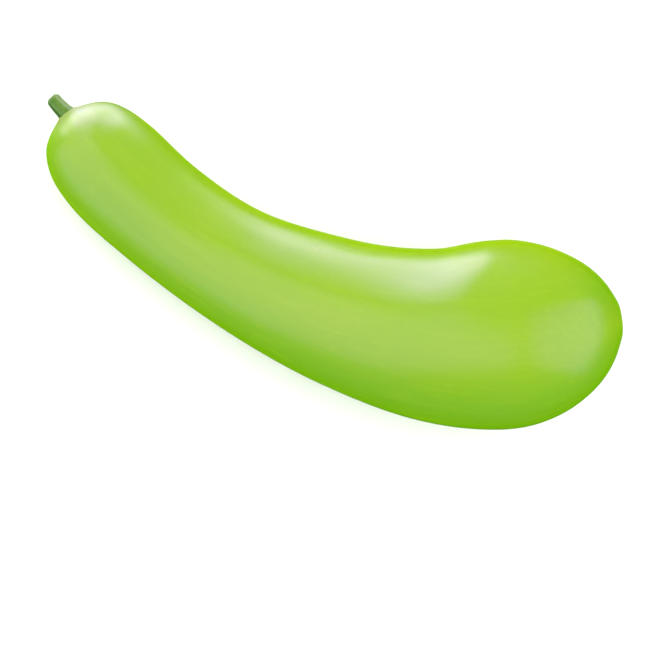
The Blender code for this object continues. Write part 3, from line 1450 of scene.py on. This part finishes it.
    def build(self, move: Array) -> bpy.types.Object:
        """Make the stem where the settled fruit carries it.

        Args:
            move: The move that settled the fruit.

        Returns:
            The piece.
        """
        along = np.linspace(-self.root, self.length, self.stations)[:, None]
        along, turn = np.broadcast_arrays(along, self.turns())
        reach = self.reach(turn, along)
        body = self.place(along, reach, turn, move)
        piece = closed_skin("gourd_stem", body, self.middle(-self.root, move))
        carry(piece, Carried.GROWN, self.grown(-self.root, along, reach, turn))
        carry(piece, Carried.RIDGE, np.concatenate([[0.0], self.ridge(turn).ravel()]))
        piece.data.materials.append(self.finish.make())
        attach(piece, "root")
        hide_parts("stem")
        return piece


@dataclass
class StemCut:
    """The stem's cut face: a shallow dish with a ring of raised strands.

    Attributes:
        stem: The stem that it closes.
        finish: Its finish.
        rings: Rings of points from its middle to its rim.
        dish: How far it sinks from its rim.
        hollow: How much further its middle sinks.
        hollow_reach: Share of the radius over which that fades out.
        strand_count: Strands round it.
        strand_height: How high they stand.
        strand_ring: Share of the radius at which they stand.
        strand_width: Share of the radius over which they fade out.
    """

    stem: Stem
    finish: CutFinish = field(default_factory=CutFinish)
    rings: int = 26
    dish: float = 0.0005
    hollow: float = 0.0003
    hollow_reach: float = 0.22
    strand_count: int = 10
    strand_height: float = 0.00016
    strand_ring: float = 0.66
    strand_width: float = 0.09

    def build(self, move: Array) -> bpy.types.Object:
        """Make the cut face on the end of the stem.

        Args:
            move: The move that settled the fruit.

        Returns:
            The piece.
        """
        stem = self.stem
        outward = np.linspace(1.0, 0.0, self.rings, endpoint=False)[::-1][:, None]
        outward, turn = np.broadcast_arrays(outward, stem.turns())
        reach = stem.reach(turn, np.full_like(turn, stem.length)) * outward
        ring = np.exp(-(((outward - self.strand_ring) / self.strand_width) ** 2))
        strands = ring * np.maximum(0.0, np.cos(self.strand_count * turn)) ** 2
        dish = self.dish * (1.0 - outward**3)
        hollow = self.hollow * np.exp(-((outward / self.hollow_reach) ** 2))
        along = stem.length - dish - hollow + self.strand_height * strands
        deepest = stem.length - self.dish - self.hollow
        points = stem.place(along, reach, turn, move)
        piece = closed_skin("gourd_stem_cut", points, stem.middle(deepest, move))
        piece.data.flip_normals()
        carry(piece, Carried.GROWN, stem.grown(deepest, along, reach, turn))
        carry(piece, Carried.OUTWARD, np.concatenate([[0.0], outward.ravel()]))
        carry(piece, Carried.STRANDS, np.concatenate([[0.0], strands.ravel()]))
        piece.data.materials.append(self.finish.make())
        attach(piece, "root")
        return piece


@dataclass
class PhotoCamera:
    """The camera, square to the plane of the fruit's bend and rolled as in the photograph.

    Attributes:
        settled: How the fruit lies.
        scale: Metres at the fruit for one pixel.
        pixels: Width of the square picture.
        stem_pixel: Where the stem end shows.
        blossom_pixel: Where the blossom end shows.
        lens: Millimetres, long enough to show the fruit without much perspective.
        sensor: Its width in millimetres.
        clip: Nearest and furthest distance that shows.
    """

    settled: Settled = field(default_factory=Settled)
    scale: float = 0.00053
    pixels: int = 657
    stem_pixel: tuple[float, float] = (65.0, 112.0)
    blossom_pixel: tuple[float, float] = (622.5, 320.0)
    lens: float = 280.0
    sensor: float = 36.0
    clip: tuple[float, float] = (0.01, 50.0)

    def axes(self) -> tuple[Vector, Vector, Vector]:
        """Find which way the picture lies.

        Returns:
            Directions in the model's frame of its right, its top, and the camera from it.
        """
        run = np.subtract(self.blossom_pixel, self.stem_pixel)
        tilt = math.atan2(run[1], run[0])
        right = np.array([math.cos(tilt), math.sin(tilt), 0.0])
        top = np.array([-math.sin(tilt), math.cos(tilt), 0.0])
        turn = self.settled.turn()
        return tuple(Vector(turn @ way) for way in (right, top, np.array([0.0, 0.0, 1.0])))

    def target(self, move: Array) -> Vector:
        """Find the point at the fruit's depth that the middle of the picture shows.

        Args:
            move: The move that settled the fruit, from its stem end.

        Returns:
            The point.
        """
        right, top, _ = self.axes()
        middle = (self.pixels - 1) / 2.0
        across = (middle - self.stem_pixel[0]) * self.scale
        down = (middle - self.stem_pixel[1]) * self.scale
        return Vector(move) + right * across - top * down

    def build(self, move: Array) -> bpy.types.Object:
        """Place the camera.

        Args:
            move: The move that settled the fruit.

        Returns:
            The camera.
        """
        right, top, back = self.axes()
        distance = self.pixels * self.scale * self.lens / self.sensor
        data = bpy.data.cameras.new("photo_camera")
        data.lens = self.lens
        data.sensor_width = self.sensor
        data.clip_start, data.clip_end = self.clip
        camera = bpy.data.objects.new("photo_camera", data)
        camera.matrix_world = Matrix.Translation(self.target(move) + back * distance) @ Matrix(
            (right, top, back)
        ).transposed().to_4x4()
        bpy.context.scene.collection.objects.link(camera)
        bpy.context.scene.camera = camera
        return camera


@dataclass(frozen=True)
class Panel:
    """A soft studio light that faces the fruit. The floor does not hold it back.

    Attributes:
        name: What it is called.
        off_axis: Degrees between it and the camera, seen from the middle of the picture.
        bearing: Degrees in the picture, from its right towards its top.
        spread: Degrees that it spans, away from the camera and round it.
        distance: Metres from the fruit.
        glow: Radiance of its face in the gloss.
        fill: Radiance of its face for matte surfaces.
        turned: Degrees that its face is turned aside, about the camera's direction.
        rounded: Whether its outline is an ellipse, rather than a rectangle.
    """

    name: str
    off_axis: float
    bearing: float
    spread: tuple[float, float]
    distance: float
    glow: float = 0.0
    fill: float = 0.0
    turned: float = 0.0
    rounded: bool = False

    def place(self, camera: PhotoCamera, target: Vector) -> Matrix:
        """Find where the panel hangs, with its face toward the target.

        Args:
            camera: The camera, whose directions the panel is placed by.
            target: The point that it faces.

        Returns:
            Its place and its turn.
        """
        right, top, back = camera.axes()
        off, bearing = math.radians(self.off_axis), math.radians(self.bearing)
        aside = right * math.cos(bearing) + top * math.sin(bearing)
        way = back * math.cos(off) + aside * math.sin(off)
        turn = Matrix.Rotation(math.radians(self.turned), 3, back)
        across, face = turn @ back.cross(aside), turn @ way
        axes = Matrix((across, face.cross(across), face)).transposed().to_4x4()
        return Matrix.Translation(target + way * self.distance) @ axes

    def build(self, camera: PhotoCamera, target: Vector, gourd: bpy.types.Collection) -> None:
        """Hang the panel: one lamp for the gloss, one for matte surfaces.

        Args:
            camera: The camera, whose directions the panel is placed by.
            target: The point that it faces.
            gourd: The only things that block its light.
        """
        height, width = (
            2.0 * self.distance * math.tan(math.radians(angle / 2.0)) for angle in self.spread
        )
        area = width * height * (math.pi / 4.0 if self.rounded else 1.0)
        for use, radiance in ((Use.GLOSS, self.glow), (Use.MATTE, self.fill)):
            if radiance <= 0.0:
                continue
            name = f"{self.name}_{use.value}"
            light = bpy.data.lights.new(name, "AREA")
            light.shape = "ELLIPSE" if self.rounded else "RECTANGLE"
            light.size, light.size_y = width, height
            light.energy = radiance * math.pi * area
            # Sampled directly and in no other way, which keeps gloss and matte light apart.
            light.cycles.use_multiple_importance_sampling = False
            lamp = bpy.data.objects.new(name, light)
            lamp.matrix_world = self.place(camera, target)
            lamp.visible_camera = False
            lamp.visible_diffuse = use is Use.MATTE
            lamp.visible_glossy = use is Use.GLOSS
            lamp.light_linking.blocker_collection = gourd
            bpy.context.scene.collection.objects.link(lamp)


@dataclass
class Studio:
    """Plain pale floor, soft panels and an even sky.

    Attributes:
        camera: The camera, whose directions the lights are set by.
        finish: The floor's paper.
        floor_side: How long and how wide the floor is.
        sky: Radiance of the sky, which lights matte surfaces and shows behind the floor.
        panels: The lights. The sky and the floor leave the gloss to them.
    """

    camera: PhotoCamera = field(default_factory=PhotoCamera)
    finish: FloorFinish = field(default_factory=FloorFinish)
    floor_side: float = 8.0
    sky: float = 1.33
    panels: tuple[Panel, ...] = (
        Panel("main_softbox", 90.8, 120.1, (91.3, 49.6), 1.99, glow=5.2, turned=1.0, rounded=True),
        Panel("main_core", 94.3, 102.8, (54.8, 64.3), 0.354, glow=6.7, turned=12.3, rounded=True),
        Panel(
            "saddle_softbox", 74.2, 87.9, (65.4, 24.1), 0.55, glow=4.6, turned=-58.6, rounded=True
        ),
        Panel("left_softbox", 42.3, -162.9, (89.5, 80.6), 3.0, glow=2.8, fill=0.13),
        Panel("right_softbox", 63.5, -3.5, (60.0, 59.6), 0.51, glow=2.9, fill=0.56),
        Panel("end_softbox", 120.0, 175.0, (40.0, 60.0), 0.8, fill=1.2),
        Panel("rear_softbox", 125.0, 100.0, (40.0, 60.0), 0.8, fill=2.3),
        Panel("neck_softbox", 95.0, 145.0, (40.0, 40.0), 0.8, fill=0.8),
        Panel("front_softbox", 60.0, 100.0, (50.0, 60.0), 0.8, fill=0.6),
        Panel("overhead_softbox", 0.0, 0.0, (60.0, 60.0), 1.0, fill=0.83),
    )

    def build(self, target: Vector, pieces: list[bpy.types.Object]) -> None:
        """Make the floor, the sky and the lights.

        Args:
            target: The point that the lights face.
            pieces: The gourd's own pieces.
        """
        self.build_floor()
        self.build_sky()
        gourd = bpy.data.collections.new("gourd")
        for piece in pieces:
            gourd.objects.link(piece)
        for panel in self.panels:
            panel.build(self.camera, target, gourd)

    def build_floor(self) -> None:
        """Lay the floor at the surface that the fruit lies on."""
        half = self.floor_side / 2.0
        mesh = bpy.data.meshes.new("studio_floor")
        corners = [(-half, -half, 0.0), (half, -half, 0.0), (half, half, 0.0), (-half, half, 0.0)]
        mesh.from_pydata(corners, [], [(0, 1, 2, 3)])
        mesh.materials.append(self.finish.make())
        floor = bpy.data.objects.new("studio_floor", mesh)
        floor.visible_glossy = False
        bpy.context.scene.collection.objects.link(floor)

    def build_sky(self) -> None:
        """Light everything evenly from all round, and leave the gloss to the lamps."""
        world = bpy.data.worlds.new("studio_sky")
        bpy.context.scene.world = world
        world.use_nodes = True
        background = world.node_tree.nodes["Background"]
        background.inputs["Color"].default_value = (1.0, 1.0, 1.0, 1.0)
        background.inputs["Strength"].default_value = self.sky
        world.cycles_visibility.glossy = False


def main() -> None:
    """Build the gourd and the studio around it, and report each piece."""
    logging.basicConfig(level=logging.INFO, format="%(name)s: %(message)s")
    fruit, move = Fruit().build()
    stem = Stem()
    pieces = [fruit, stem.build(move), StemCut(stem).build(move)]
    for piece in pieces:
        LOG.info("%s: %d faces", piece.name, len(piece.data.polygons))
    photo_camera = PhotoCamera()
    photo_camera.build(move)
    Studio(camera=photo_camera).build(photo_camera.target(move), pieces)
    bpy.context.scene.view_settings.view_transform = "Standard"


if __name__ == "__main__":
    main()
